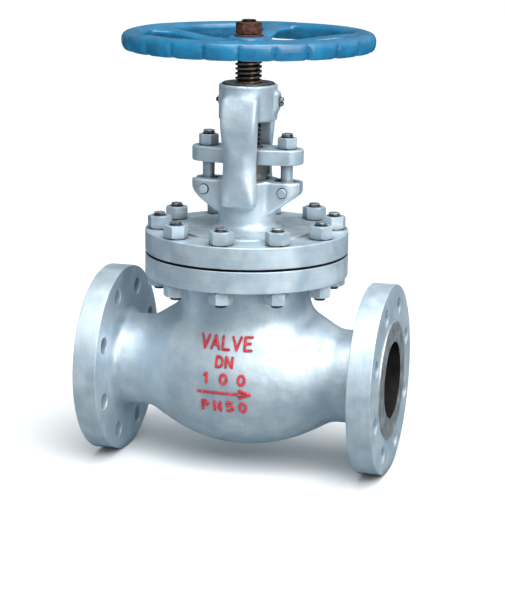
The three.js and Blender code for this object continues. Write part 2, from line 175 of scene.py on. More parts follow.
def body_inside(x, y, z):
    """The hollow: bores, chamber and neck, less the S-shaped wall that carries the seat."""
    across, out = np.hypot(y, z), np.hypot(x, y)
    chamber = soft_max(bulb(x, across, WALL), np.abs(x) - 132, 6)
    bores = drum(across, x, BORE_R, -FACE - 9, FACE + 9)
    neck = drum(out, z, NECK_BORE_R, 30, BODY_TOP + 9)
    space = soft_min(soft_min(chamber, bores, 10), neck, 8)
    wall = np.minimum(segment(x, z, (-67, 10), (67, 10)), segment(x, z, (-67, 10), (-136, 78)))
    wall = np.minimum(wall, segment(x, z, (67, 10), (136, -75))) - 8
    port = 53.3 - out
    return soft_max(space, -soft_max(wall, port, 1), 3)


def bonnet_outside(x, y, z):
    """The bonnet above its flange: neck, stuffing box with its lugs, yoke arms and yoke hub."""
    out, side, front = np.hypot(x, y), np.abs(x), np.abs(y)
    neck = drum(out, z, BOX_R, 184, BOX_TOP, 2)
    foot = drum(out, z, 58, 180, JOINT_TOP + STEP_HIGH - 0.3)
    lug_low = 216 + 0.72 * np.clip(side - BOX_R, 0, None)
    tips = np.hypot(np.clip(side - GLAND_X, 0, None), y) - LUG_R
    lugs = soft_max(soft_max(tips, z - BOX_TOP, 3), (lug_low - z) * 0.81, 5)
    round_edge = 7 + 10 * np.exp(-(((z - 283) / 34) ** 2))
    waist = 9 * np.exp(-(((z - 280) / 32) ** 2)) * np.clip((front - ARM_IN) / (ARM_OUT - ARM_IN), 0, 1)
    reach = ARM_OUT - 12 * np.clip((z - 330) / 42, 0, 1) ** 2
    face = soft_max(side - ARM_HALF + waist, front - reach, round_edge)
    arms = soft_max(soft_max(face, ARM_IN - front, 6), np.abs(z - 299) - 73, 8)
    hub = drum(out, z, YOKE_R, YOKE_LOW, HUB_TOP, 3)
    ear_low = (345 - z + np.clip(x - 36, 0, None)) * 0.75
    ear = soft_max(soft_max(np.abs(y) - 9, x - BOSS_X, 3), soft_max(z - 375, ear_low, 6), 4)
    ear = np.maximum(ear, 30 - x)
    nipple = drum(np.hypot(y, z - BOSS_Z), -x, 7, 20, 38.8)
    shape = soft_min(soft_min(neck, foot, 12), lugs, 5)
    yoke = soft_min(soft_min(arms, hub, 8), np.minimum(ear, nipple), 4)
    return soft_min(shape, yoke, 5)


def rim_section(r, z):
    """The rim's section: tall and full outside, with a sloped underside towards the spokes."""
    sides = [
        ((-1, -0.15), (142, 443)),
        ((-0.62, -0.78), (147, 434.5)),
        ((0, -1), (159, 428)),
        ((0.8, -0.6), (163.5, 430)),
        ((1, 0.02), (WHEEL_R - 0.6, 440)),
        ((0.55, 0.84), (161.5, 450.2)),
        ((-0.06, 1), (155, 453)),
        ((-0.7, 0.7), (144.5, 450.5)),
    ]
    shape = None
    for (nr, nz), (pr, pz) in sides:
        plane = ((r - pr) * nr + (z - pz) * nz) / math.hypot(nr, nz)
        shape = plane if shape is None else soft_max(shape, plane, 5)
    return shape


def handwheel(x, y, z):
    """Rim with finger lobes, five dished spokes and a hub."""
    r, turn = np.hypot(x, y), np.arctan2(y, x)
    lobe = 2 * math.pi / LOBES
    from_middle = np.abs((turn / lobe) % 1 - 0.5) * 2
    groove = 3.6 * from_middle**7 * smooth((r - 146) / 14) * smooth((452 - z) / 9)
    shape = rim_section(r + groove, z - 0.35 * groove)
    every = 2 * math.pi / SPOKES
    for i in range(SPOKES):
        angle = FIRST_SPOKE + i * every
        along = x * math.cos(angle) + y * math.sin(angle)
        side = y * math.cos(angle) - x * math.sin(angle)
        rise = 434 + 10 * smooth((along - 30) / 110)
        half = 11 + 4 * (1 - smooth((along - 10) / 45)) + 15 * smooth((along - 112) / 38)
        thick = 5.2 + 2.6 * (1 - smooth((along - 10) / 60))
        scaled = np.hypot(side / half, (z - rise) / thick)
        steep = np.hypot(side / half**2, (z - rise) / thick**2) + 1e-6
        spoke = soft_max(scaled * (scaled - 1) / steep, np.abs(along - 82) - 68, 4)
        shape = soft_min(shape, spoke, 7)
    hub = drum(r, z, WHEEL_HUB_R, WHEEL_LOW, WHEEL_HUB_TOP, 4)
    return soft_min(shape, hub, 8)


# ------------------------------------------------------------ meshes


def net(distance, axes, place=None, ring=False):
    """Vertices and quads of the surface where distance is zero, one vertex to each cell that it crosses.

    axes are the grid's stations and place turns them into x, y and z. ring joins the second axis's end
    to its start.
    """
    if ring:
        axes = (axes[0], np.append(axes[1], axes[1][0]), axes[2])
    grid = np.meshgrid(*axes, indexing="ij")
    points = np.stack(place(*grid) if place else grid, axis=-1)
    value = distance(*np.moveaxis(points, -1, 0))
    cells = np.array(value.shape) - 1
    total, hits, quads = np.zeros((cells.prod(), 3)), np.zeros(cells.prod()), []
    for a in range(3):
        b, c = (a + 1) % 3, (a + 2) % 3
        near, far = [slice(None)] * 3, [slice(None)] * 3
        near[a], far[a] = slice(0, -1), slice(1, None)
        at = np.argwhere((value[tuple(near)] < 0) != (value[tuple(far)] < 0))
        if ring and a != 1:
            at = at[at[:, 1] < cells[1]]
        step = np.eye(3, dtype=int)[a]
        here, there = tuple(at.T), tuple((at + step).T)
        share = (value[here] / (value[here] - value[there]))[:, None]
        cross = points[here] * (1 - share) + points[there] * share
        corners = []
        for back_b, back_c in ((1, 1), (0, 1), (0, 0), (1, 0)):
            cell = at.copy()
            cell[:, b] -= back_b
            cell[:, c] -= back_c
            if ring:
                cell[:, 1] %= cells[1]
            flat = np.ravel_multi_index(tuple(cell.T), tuple(cells))
            np.add.at(total, flat, cross)
            np.add.at(hits, flat, 1)
            corners.append(flat)
        quad = np.stack(corners, 1)
        facing = value[here] < 0
        quads += [quad[facing], quad[~facing][:, ::-1]]
    quads = np.concatenate(quads)
    used, index = np.unique(quads, return_inverse=True)
    vertices = total[used] / hits[used][:, None]
    return pull(distance, vertices, 1.5), index.reshape(-1, 4)


def pull(distance, points, limit):
    """Moves points along the distance's slope until they lie on the surface."""
    reach = 0.05
    for _ in range(4):
        slope = [distance(*(points + e).T) - distance(*(points - e).T) for e in np.eye(3) * reach]
        slope = np.stack(slope, 1) / (2 * reach)
        gap = distance(*points.T)[:, None]
        move = gap * slope / np.maximum((slope**2).sum(1, keepdims=True), 0.1)
        points = points - np.clip(move, -limit, limit)
    return points


def stations(low, high, step):
    return np.linspace(low, high, int((high - low) / (step * COARSE)) + 2)


def make(name, vertices, faces):
    """A mesh object from vertices in mm."""
    mesh = bpy.data.meshes.new(name)
    mesh.from_pydata((np.asarray(vertices) * MM).tolist(), [], [list(map(int, f)) for f in faces])
    mesh.update()
    piece = bpy.data.objects.new(name, mesh)
    bpy.context.scene.collection.objects.link(piece)
    return piece


def turned(name, profile, axis="z", sides=ROUND):
    """A profile of (radius, height) points turned about an axis. It runs up the outside of the piece.

    A profile that starts off the axis closes on itself, for a piece with a hole through it.
    """
    vertices, rows = [], []
    for r, h in profile:
        row = range(len(vertices), len(vertices) + (sides if r > 0 else 1))
        rows.append(list(row) * (1 if r > 0 else sides))
        for i in range(len(row)):
            turn = 2 * math.pi * i / sides
            vertices.append((r * math.cos(turn), r * math.sin(turn), h))
    if profile[0][0] > 0:
        rows.append(rows[0])
    faces = []
    for low, high in zip(rows, rows[1:]):
        for i in range(sides):
            j = (i + 1) % sides
            face = dict.fromkeys((low[i], low[j], high[j], high[i]))
            if len(face) > 2:
                faces.append(tuple(face))
    vertices = np.array(vertices)
    if axis == "x":
        vertices = vertices[:, [2, 0, 1]]
    if axis == "y":
        vertices = vertices[:, [1, 2, 0]]
    return make(name, vertices, faces)


def rounded(profile, edge=1.0, steps=3):
    """The profile with each corner off the axis turned into an arc."""
    closed = profile[0][0] > 0
    count, made = len(profile), []
    for i, corner in enumerate(profile):
        corner = np.array(corner, float)
        if not closed and i in (0, count - 1):
            made.append(tuple(corner))
            continue
        before = np.subtract(profile[i - 1], corner)
        after = np.subtract(profile[(i + 1) % count], corner)
        reach = min(edge, np.hypot(*before) * 0.45, np.hypot(*after) * 0.45)
        start = corner + before / np.hypot(*before) * reach
        end = corner + after / np.hypot(*after) * reach
        for k in range(steps + 1):
            t = k / steps
            made.append(tuple((1 - t) ** 2 * start + 2 * t * (1 - t) * corner + t * t * end))
    return [(max(r, 0.0), h) for r, h in made]


def prism(name, outline, low, high, axis="z"):
    """An outline raised between two heights along an axis."""
    count = len(outline)
    vertices = np.array([(a, b, h) for h in (low, high) for a, b in outline])
    faces = [tuple(reversed(range(count))), tuple(range(count, 2 * count))]
    faces += [(i, (i + 1) % count, count + (i + 1) % count, count + i) for i in range(count)]
    if axis == "x":
        vertices = vertices[:, [2, 0, 1]]
    return make(name, vertices, faces)


def settle(piece):
    """Applies a piece's modifiers."""
    bpy.context.view_layer.update()
    graph = bpy.context.evaluated_depsgraph_get()
    before = piece.data
    piece.data = bpy.data.meshes.new_from_object(piece.evaluated_get(graph), depsgraph=graph)
    piece.modifiers.clear()
    bpy.data.meshes.remove(before)
    return piece


def carve(piece, operation, *tools):
    """Joins, cuts or intersects a piece with each tool, and removes the tools."""
    for tool in tools:
        step = piece.modifiers.new("carve", "BOOLEAN")
        step.operation, step.solver, step.object = operation, "MANIFOLD", tool
    settle(piece)
    for tool in tools:
        mesh = tool.data
        bpy.data.objects.remove(tool)
        bpy.data.meshes.remove(mesh)
    return piece


def join(piece, *tools):
    return carve(piece, "UNION", *tools)


def cut(piece, *tools):
    return carve(piece, "DIFFERENCE", *tools)


def overlap(piece, *tools):
    return carve(piece, "INTERSECT", *tools)


def shift(piece, x=0.0, y=0.0, z=0.0, turn=0.0):
    """Turns a piece's mesh about its own Z axis, then moves it. The object stays at the origin."""
    piece.data.transform(Matrix.Translation((x * MM, y * MM, z * MM)) @ Matrix.Rotation(turn, 4, "Z"))
    return piece


def soften(piece, angle=32):
    """Smooth shading that keeps the edges, weighted so that flat faces stay flat."""
    piece.data.shade_smooth()
    piece.data.set_sharp_from_angle(angle=math.radians(angle))
    weigh = piece.modifiers.new("weigh", "WEIGHTED_NORMAL")
    weigh.keep_sharp = True
    return settle(piece)


def bevel(piece, width, segments=2, angle=40):
    step = piece.modifiers.new("bevel", "BEVEL")
    step.width, step.segments = width * MM, segments
    step.limit_method, step.angle_limit = "ANGLE", math.radians(angle)
    step.harden_normals = False
    return settle(piece)


def circle(count, radius, first=0.0):
    for i in range(count):
        turn = first + 2 * math.pi * i / count
        yield radius * math.cos(turn), radius * math.sin(turn)


def drill(name, r, low, high, axis="z", chamfer=1.0):
    """A cutter for a hole with a small chamfer at each end, reaching well past both faces."""
    over = 3
    profile = [(0, low - over), (r + chamfer + over, low - over), (r, low + chamfer)]
    profile += [(r, high - chamfer), (r + chamfer + over, high + over), (0, high + over)]
    return turned(name, profile, axis, 32)


def thread(name, major, depth, pitch, low, high, flats=(0.3, 0.34), sides=48):
    """A right-hand screw between two heights, its ends chamfered. flats are the root's and crest's shares."""
    root, crest = flats
    flank = (1 - root - crest) / 2
    section = [(0, major - depth), (root, major - depth), (root + flank, major), (1 - flank, major)]
    per = len(section)
    rows = per * (int((high - low) / pitch) + 4)
    vertices = []
    for m in range(rows):
        share, r = section[m % per]
        for j in range(sides):
            turn = 2 * math.pi * j / sides
            h = low - 2 * pitch + pitch * (m // per + share + j / sides)
            vertices.append((r * math.cos(turn), r * math.sin(turn), h))
    faces = []
    for m in range(rows - 1):
        for j in range(sides):
            seam = per if j == sides - 1 else 0
            k = (j + 1) % sides
            if m + seam + 1 >= rows:
                continue
            low_row, high_row = m * sides, (m + 1) * sides
            faces.append((low_row + j, low_row + seam * sides + k, high_row + seam * sides + k, high_row + j))
    screw = make(name, vertices, faces)
    shell = bmesh.new()
    shell.from_mesh(screw.data)
    bmesh.ops.holes_fill(shell, edges=[e for e in shell.edges if e.is_boundary], sides=0)
    bmesh.ops.recalc_face_normals(shell, faces=shell.faces)
    shell.to_mesh(screw.data)
    shell.free()
    small = major - depth
    ends = [(0, low), (small, low), (major + 0.01, low + depth), (major + 0.01, high - depth)]
    return overlap(screw, turned("ends", [*ends, (small, high), (0, high)], sides=sides * 2))


# ------------------------------------------------------------ materials


class Finish:
    """A material's node tree, with short calls for what the finishes share."""

    def __init__(self, name, metal, rough, **sockets):
        self.material = bpy.data.materials.new(name)
        self.material.use_nodes = True
        self.tree = self.material.node_tree
        self.shader = self.tree.nodes["Principled BSDF"]
        self.shader.inputs["Metallic"].default_value = metal
        self.shader.inputs["Roughness"].default_value = rough
        for socket, value in sockets.items():
            self.shader.inputs[socket.replace("_", " ")].default_value = value
        self.place = self.tree.nodes.new("ShaderNodeTexCoord").outputs["Object"]

    def node(self, kind, **inputs):
        made = self.tree.nodes.new(kind)
        for socket, value in inputs.items():
            self.feed(made.inputs[socket.replace("_", " ")], value)
        return made

    def feed(self, socket, value):
        if isinstance(value, bpy.types.NodeSocket):
            self.tree.links.new(value, socket)
        else:
            socket.default_value = value

    def noise(self, size, detail=3.0, stretch=(1, 1, 1), rough=0.5):
        """Noise whose blotches are about size mm across, drawn out along an axis with a small stretch."""
        mapping = self.node("ShaderNodeMapping", Vector=self.place)
        mapping.inputs["Scale"].default_value = stretch
        made = self.node("ShaderNodeTexNoise", Vector=mapping.outputs["Vector"])
        made.inputs["Scale"].default_value = 1 / (size * MM)
        made.inputs["Detail"].default_value = detail
        made.inputs["Roughness"].default_value = rough
        return made.outputs["Factor"] if "Factor" in made.outputs else made.outputs["Fac"]

    def between(self, value, low, high, to_low=0.0, to_high=1.0):
        made = self.node("ShaderNodeMapRange", Value=value)
        made.interpolation_type = "SMOOTHSTEP"
        for socket, number in zip(("From Min", "From Max", "To Min", "To Max"), (low, high, to_low, to_high)):
            made.inputs[socket].default_value = number
        return made.outputs["Result"]

    def mix(self, factor, first, second):
        made = self.tree.nodes.new("ShaderNodeMix")
        made.data_type = "RGBA"
        self.feed(made.inputs[0], factor)
        for socket, value in zip((6, 7), (first, second)):
            full = (*value, 1) if isinstance(value, tuple) else value
            self.feed(made.inputs[socket], full)
        return made.outputs[2]

    def maths(self, how, first, second=0.0):
        made = self.tree.nodes.new("ShaderNodeMath")
        made.operation = how
        self.feed(made.inputs[0], first)
        self.feed(made.inputs[1], second)
        return made.outputs[0]

    def radius(self, axis="z"):
        """Distance from an axis of the frame, in metres."""
        parts = self.node("ShaderNodeSeparateXYZ", Vector=self.place)
        pair = [parts.outputs[i] for i in range(3) if "xyz"[i] != axis]
        squares = [self.maths("MULTIPLY", part, part) for part in pair]
        return self.maths("SQRT", self.maths("ADD", *squares))

    def shade(self, distance=18.0, low=0.35, high=0.9):
        """1 in the open and 0 deep in corners, from ambient occlusion; the finishes darken their colour by
        it, a painted shade.
        """
        made = self.tree.nodes.new("ShaderNodeAmbientOcclusion")
        made.samples = 6
        made.inputs["Distance"].default_value = distance * MM
        return self.between(made.outputs["AO"], low, high)

    def bump(self, *layers):
        """Layers of (height socket, depth in mm), one on another."""
        last = None
        for height, depth in layers:
            made = self.node("ShaderNodeBump", Height=height)
            made.inputs["Distance"].default_value = depth * MM
            made.inputs["Strength"].default_value = 1.0
            if last:
                self.tree.links.new(last, made.inputs["Normal"])
            last = made.outputs["Normal"]
        self.tree.links.new(last, self.shader.inputs["Normal"])

    def colour(self, value):
        self.feed(self.shader.inputs["Base Color"], value)

    def gloss(self, value):
        self.feed(self.shader.inputs["Roughness"], value)


def silver_paint(name, streaks=None, dull=0.0):
    """Aluminium paint on cast steel, or on a turned rim with fine streaks across the named axis."""
    paint = Finish(name, metal=0.68, rough=0.42)
    stretch = (1, 1, 1)
    if streaks:
        stretch = tuple(1.0 if "xyz"[i] == streaks else 0.03 for i in range(3))
    blotches = paint.between(paint.noise(38, 5), 0.35, 0.68)
    tone = paint.mix(blotches, (0.50, 0.61, 0.69), (0.67, 0.76, 0.82))
    fine = paint.noise(1.6 if streaks else 2.6, 4, stretch)
    tone = paint.mix(paint.between(fine, 0.3, 0.75, 0.0, 0.22), tone, (0.38, 0.45, 0.51))
    # Darker in corners and crevices by ambient occlusion: a painted shade.
    tone = paint.mix(paint.shade(), (0.10, 0.12, 0.14), tone)
    if dull:
        # With dull set, the colour darkens towards greenish grey in patches.
        dull_patches = paint.between(paint.noise(22, 5), 0.25, 0.6, dull, dull * 0.5)
        tone = paint.mix(dull_patches, tone, (0.20, 0.22, 0.20))
    paint.colour(tone)
    paint.gloss(paint.between(paint.noise(14, 5), 0.3, 0.7, 0.4, 0.56))
    if streaks:
        paint.bump((paint.noise(1.1, 3, stretch), 0.16), (paint.noise(0.9, 2), 0.03))
    else:
        paint.bump((paint.noise(9, 3), 0.35), (paint.noise(1.6, 4), 0.06))
    return paint.material


def blue_enamel():
    paint = Finish("blue_enamel", metal=0.0, rough=0.3, Coat_Weight=0.35, Coat_Roughness=0.15)
    tone = paint.mix(paint.between(paint.noise(30, 5), 0.3, 0.7), (0.002, 0.10, 0.21), (0.004, 0.155, 0.31))
    # Darker in corners and recesses by ambient occlusion: a painted shade.
    tone = paint.mix(paint.shade(14), (0.004, 0.06, 0.14), tone)
    chips = paint.between(paint.noise(3.2, 6, rough=0.7), 0.70, 0.73)
    tone = paint.mix(paint.maths("MULTIPLY", chips, 0.5), tone, (0.02, 0.07, 0.12))
    paint.colour(tone)
    paint.gloss(paint.between(paint.noise(10, 4), 0.3, 0.7, 0.24, 0.4))
    paint.bump((paint.noise(12, 3), 0.3), (paint.noise(1.5, 3), 0.05))
    return paint.material


def stem_steel():
    """Dark oiled screw steel, its crests painted lighter as a highlight."""
    steel = Finish("stem_steel", metal=0.9, rough=0.35)
    # Lighter towards the crests by radius: a painted highlight; the roots keep the dark steel.
    crest = steel.between(steel.radius(), (STEM_R - 1.6) * MM, (STEM_R - 0.3) * MM)
    crest_highlight_tone = steel.mix(steel.between(steel.noise(7, 5), 0.35, 0.65), (0.13, 0.10, 0.075), (0.32, 0.27, 0.22))
    steel.colour(steel.mix(crest, (0.016, 0.012, 0.010), crest_highlight_tone))
    steel.gloss(steel.between(steel.noise(3, 4), 0.3, 0.7, 0.28, 0.5))
    steel.bump((steel.noise(0.8, 3), 0.05))
    return steel.material


def bolt_steel():
    """Blackened bolt steel with overspray of the silver paint."""
    steel = Finish("bolt_steel", metal=0.75, rough=0.45)
    spray = steel.between(steel.noise(6, 5), 0.42, 0.62)
    tone = steel.mix(spray, (0.16, 0.17, 0.18), (0.45, 0.49, 0.52))
    # Near black in corners and crevices by ambient occlusion: a painted shade.
    steel.colour(steel.mix(steel.shade(8), (0.02, 0.02, 0.02), tone))
    steel.gloss(steel.between(spray, 0, 1, 0.38, 0.55))
    steel.bump((steel.noise(1.2, 3), 0.06))
    return steel.material


def machined_steel(name, rings="z", light=(0.42, 0.40, 0.38), dark=(0.24, 0.21, 0.18)):
    """Bare steel with the fine grooves that a lathe leaves round an axis."""
    steel = Finish(name, metal=0.9, rough=0.4)
    out = steel.radius(rings)
    groove = steel.maths("SINE", steel.maths("MULTIPLY", out, 2 * math.pi / (1.6 * MM)))
    tone = steel.mix(steel.between(steel.noise(16, 5), 0.3, 0.7), dark, light)
    tone = steel.mix(steel.between(groove, -1, 1, 0.0, 0.3), tone, dark)
    steel.colour(tone)
    steel.gloss(steel.between(steel.noise(9, 4), 0.3, 0.7, 0.36, 0.56))
    steel.bump((groove, 0.05), (steel.noise(1.0, 3), 0.03))
    return steel.material


def brown_oxide():
    rust = Finish("brown_oxide", metal=0.25, rough=0.7)
    tone = rust.mix(rust.between(rust.noise(5, 6), 0.35, 0.65), (0.035, 0.012, 0.008), (0.13, 0.045, 0.022))
    rust.colour(tone)
    rust.gloss(rust.between(rust.noise(4, 4), 0.3, 0.7, 0.55, 0.85))
    rust.bump((rust.noise(1.4, 5), 0.2))
    return rust.material


def bronze():
    metal = Finish("bronze", metal=0.95, rough=0.42)
    tone = metal.mix(metal.between(metal.noise(8, 5), 0.3, 0.7), (0.11, 0.085, 0.06), (0.30, 0.25, 0.19))
    # Darker in corners and recesses by ambient occlusion: a painted shade.
    metal.colour(metal.mix(metal.shade(10), (0.03, 0.02, 0.015), tone))
    metal.gloss(metal.between(metal.noise(5, 4), 0.3, 0.7, 0.34, 0.55))
    metal.bump((metal.noise(1.1, 3), 0.06))
    return metal.material


def graphite():
    black = Finish("graphite", metal=0.1, rough=0.75)
    flakes = black.between(black.noise(3, 4), 0.3, 0.7)
    black.colour(black.mix(flakes, (0.018, 0.018, 0.02), (0.05, 0.05, 0.055)))
    black.gloss(black.between(black.noise(4, 3), 0.3, 0.7, 0.6, 0.85))
    black.bump((black.noise(0.9, 4), 0.12))
    return black.material


def inside_cast():
    """The unpainted inside of a casting and the walls of its holes; its near-black tone is a painted shade.
    """
    steel = Finish("inside_cast", metal=0.2, rough=0.8, Specular_IOR_Level=0.25)
    patches = steel.between(steel.noise(14, 6), 0.3, 0.7)
    # Near-black tone for the shade inside the hollow, darker still deeper in by ambient occlusion: painted
    # shade.
    tone = steel.mix(patches, (0.005, 0.005, 0.006), (0.014, 0.013, 0.013))
    steel.colour(steel.mix(steel.shade(40, 0.2, 0.95), (0.004, 0.004, 0.004), tone))
    steel.gloss(steel.between(steel.noise(6, 4), 0.3, 0.7, 0.55, 0.8))
    steel.bump((steel.noise(3, 4), 0.3))
    return steel.material


def red_paint():
    paint = Finish("red_paint", metal=0.0, rough=0.5)
    tone = paint.mix(paint.between(paint.noise(7, 5), 0.35, 0.7), (0.36, 0.012, 0.022), (0.62, 0.03, 0.045))
    thin = paint.between(paint.noise(2.5, 5), 0.60, 0.72, 0.0, 0.55)
    paint.colour(paint.mix(thin, tone, (0.45, 0.40, 0.42)))
    paint.gloss(paint.between(paint.noise(5, 4), 0.3, 0.7, 0.4, 0.6))
    paint.bump((paint.noise(1.4, 4), 0.12))
    return paint.material


CAST = silver_paint("silver_cast")
TURNED_Z = silver_paint("silver_turned_z", "z")
TURNED_X = silver_paint("silver_turned_x", "x")
FLAT_TOP = silver_paint("silver_dull", None, 0.55)
RAISED = machined_steel("raised_face", "x", (0.74, 0.75, 0.75), (0.44, 0.44, 0.43))
INSIDE = inside_cast()
MACHINED = machined_steel("machined_steel")
BLUE = blue_enamel()
STEM = stem_steel()
BOLT = bolt_steel()
OXIDE = brown_oxide()
BRONZE = bronze()
GRAPHITE = graphite()
RED = red_paint()


def paint(piece, *materials, choose=None):
    """Gives a piece its materials. choose turns face centres and normals, in mm, into slot numbers."""
    mesh = piece.data
    mesh.materials.clear()
    for material in materials:
        mesh.materials.append(material)
    count = len(mesh.polygons)
    index = np.zeros(count, np.int32)
    if choose:
        middle_of, normal = np.zeros(count * 3), np.zeros(count * 3)
        mesh.polygons.foreach_get("center", middle_of)
        mesh.polygons.foreach_get("normal", normal)
        index = choose(middle_of.reshape(-1, 3) / MM, normal.reshape(-1, 3)).astype(np.int32)
    mesh.polygons.foreach_set("material_index", index)
    return piece


def finish_piece(piece, body, slot, *nodes):
    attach(piece, body)
    if nodes:
        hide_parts(*nodes)
    return piece


# ------------------------------------------------------------ body casting


def end_rim(side):
    """The turned end flange on one side, with its raised face."""
    profile = [(40, END_BACK), (END_R, END_BACK), (END_R, FACE - RAISED_HIGH), (RAISED_R, FACE - RAISED_HIGH)]
    profile += [(RAISED_R, FACE), (40, FACE)]
    rim = turned(f"end_rim{side}", rounded(profile, 1.6), "x", 160)
    if side < 0:
        rim.data.transform(Matrix.Rotation(math.pi, 4, "Z"))
    return rim


def neck_rim():
    profile = [(60, JOINT_LOW), (JOINT_R, JOINT_LOW), (JOINT_R, BODY_TOP), (60, BODY_TOP)]
    return turned("neck_rim", rounded(profile, 1.5), "z", 192)


def body_casting():
    step = 3.0
    across = stations(-END_R + 2, END_R - 2, step)
    axes = (stations(-FACE + 3, FACE - 3, step), stations(-131, 131, step), stations(-123, 157, step))
    body = make("body_casting_look", *net(body_outside, axes))
    lengths = ((-FACE - 14, FACE + 14), (-94, 94), (-94, BODY_TOP + 14))
    hollow = make("hollow", *net(body_inside, [stations(low, high, 3.6) for low, high in lengths]))
    join(body, end_rim(1), end_rim(-1), neck_rim())
    cutters = [hollow]
    for side in (-1, 1):
        for y, z in circle(END_HOLES, END_CIRCLE_R, math.pi / END_HOLES):
            low, high = sorted((side * END_BACK, side * (FACE - RAISED_HIGH)))
            cutters.append(shift(drill("hole", END_HOLE_R, low, high, "x"), y=y, z=z))
    for x, y in circle(STUD_COUNT, STUD_CIRCLE_R, -math.pi / 2):
        cutters.append(shift(drill("hole", STUD_HOLE_R, JOINT_LOW, BODY_TOP), x, y))
    cut(body, *cutters)
    soften(body)

    def choose(at, normal):
        side, round_bore, out = np.abs(at[:, 0]), np.hypot(at[:, 1], at[:, 2]), np.hypot(at[:, 0], at[:, 1])
        slots = np.zeros(len(at))
        slots[(side > END_BACK - 0.2) & (round_bore > BORE_R + 0.5)] = 1
        slots[(at[:, 2] > JOINT_LOW - 0.2) & (out > NECK_BORE_R + 0.5)] = 2
        slots[(side > FACE - RAISED_HIGH + 0.1) & (round_bore < RAISED_R + 0.2)] = 3
        in_rims = (side > END_BACK - 3) | (at[:, 2] > JOINT_LOW - 3) & (out > NECK_BORE_R + 6)
        # Faces in the hollow and the bore's ends take the near-black inside finish, a painted shade.
        deep = (body_outside(*at.T) < -3) & (at[:, 2] < BODY_TOP - 0.1) & ~in_rims
        slots[deep | (round_bore < BORE_R + 0.3) & (side > 120)] = 4
        return slots

    paint(body, CAST, TURNED_X, TURNED_Z, RAISED, INSIDE, choose=choose)
    return finish_piece(body, "root", "silver_paint", "body_casting")


# Raised marks on the bulb. Each glyph is a list of strokes in a box 1 wide and 1.4 high.


def arc(cx, cy, rx, ry, start, end, steps=10):
    turns = np.radians(np.linspace(start, end, steps + 1))
    return [(cx + rx * math.cos(t), cy + ry * math.sin(t)) for t in turns]


GLYPHS = {
    "V": [[(0, 1.4), (0.45, 0), (0.9, 1.4)]],
    "A": [[(0, 0), (0.45, 1.4), (0.9, 0)], [(0.18, 0.5), (0.72, 0.5)]],
    "L": [[(0.1, 1.4), (0.1, 0), (0.85, 0)]],
    "E": [[(0.85, 1.4), (0.1, 1.4), (0.1, 0), (0.85, 0)], [(0.1, 0.72), (0.7, 0.72)]],
    "D": [[(0, 0), (0, 1.4), (0.35, 1.4), *arc(0.35, 0.7, 0.55, 0.7, 90, -90), (0, 0)]],
    "N": [[(0, 0), (0, 1.4), (0.9, 0), (0.9, 1.4)]],
    "P": [[(0, 0), (0, 1.4), (0.45, 1.4), *arc(0.45, 1.03, 0.42, 0.37, 90, -90), (0, 0.66)]],
    "0": [arc(0.45, 0.7, 0.45, 0.7, 0, 360, 24)],
    "1": [[(0.15, 1.1), (0.5, 1.4), (0.5, 0)]],
    "5": [[(0.8, 1.4), (0.1, 1.4), (0.04, 0.8), *arc(0.4, 0.45, 0.45, 0.45, 130, -140)]],
}
# Each row: its text, its middle height, the step between letters and their height.
ROWS = (("VALVE", 56, 14.5, 16.5), ("DN", 32, 13, 13), ("100", 10, 24, 13), ("PN50", -28, 17, 13))
MARK_HIGH, STROKE = 1.7, 3


def mark_strokes():
    """Every stroke of the marks as a segment in the XZ plane, with its half width."""
    for text, level, pitch, size in ROWS:
        left = -0.5 * (pitch * (len(text) - 1) + 0.9 * size / 1.4)
        for i, letter in enumerate(text):
            for stroke in GLYPHS[letter]:
                near, unit = left + i * pitch, size / 1.4
                spots = [(near + a * unit, level + (b - 0.7) * unit) for a, b in stroke]
                for start, end in zip(spots, spots[1:]):
                    if math.dist(start, end) > 0.01:
                        yield start, end, STROKE / 2
    yield (-36, -9), (24, -9), 1.6
    for tip in ((22, -4), (22, -14)):
        yield (35, -9), tip, 1.8


def marks():
    """Size, pressure and flow marks, cast proud of the bulb's front."""
    strokes = list(mark_strokes())

    def distance(x, y, z):
        flat = None
        for start, end, half in strokes:
            near = segment(x, z, start, end) - half
            flat = near if flat is None else np.minimum(flat, near)
        proud = body_outside(x, y, z)
        return soft_max(soft_max(flat, proud - MARK_HIGH, 1.2), -2.5 - proud, 0.5)

    made = []
    for low, high, near_y in ((44, 72, -66), (-42, 44, -84)):
        axes = (stations(-42, 42, 0.8), stations(-BULB_R - 4, near_y, 0.8), stations(low, high, 0.8))
        made.append(net(distance, axes))
    vertices = np.concatenate([part[0] for part in made])
    faces = np.concatenate([made[0][1], made[1][1] + len(made[0][0])])
    piece = make("cast_marks", vertices, faces)
    soften(piece, 50)
    return finish_piece(paint(piece, RED), "root", None)


# ------------------------------------------------------------ bonnet


def bonnet_rim():
    """The turned flange with its spigot below and its low step above."""
    step_top = JOINT_TOP + STEP_HIGH
    profile = [(0, SPIGOT_LOW), (SPIGOT_R, SPIGOT_LOW), (SPIGOT_R, BONNET_LOW), (JOINT_R, BONNET_LOW)]
    profile += [(JOINT_R, JOINT_TOP), (STEP_R, JOINT_TOP), (STEP_R - 1, step_top), (0, step_top)]
    return turned("bonnet_rim", rounded(profile, 1.4), "z", 192)


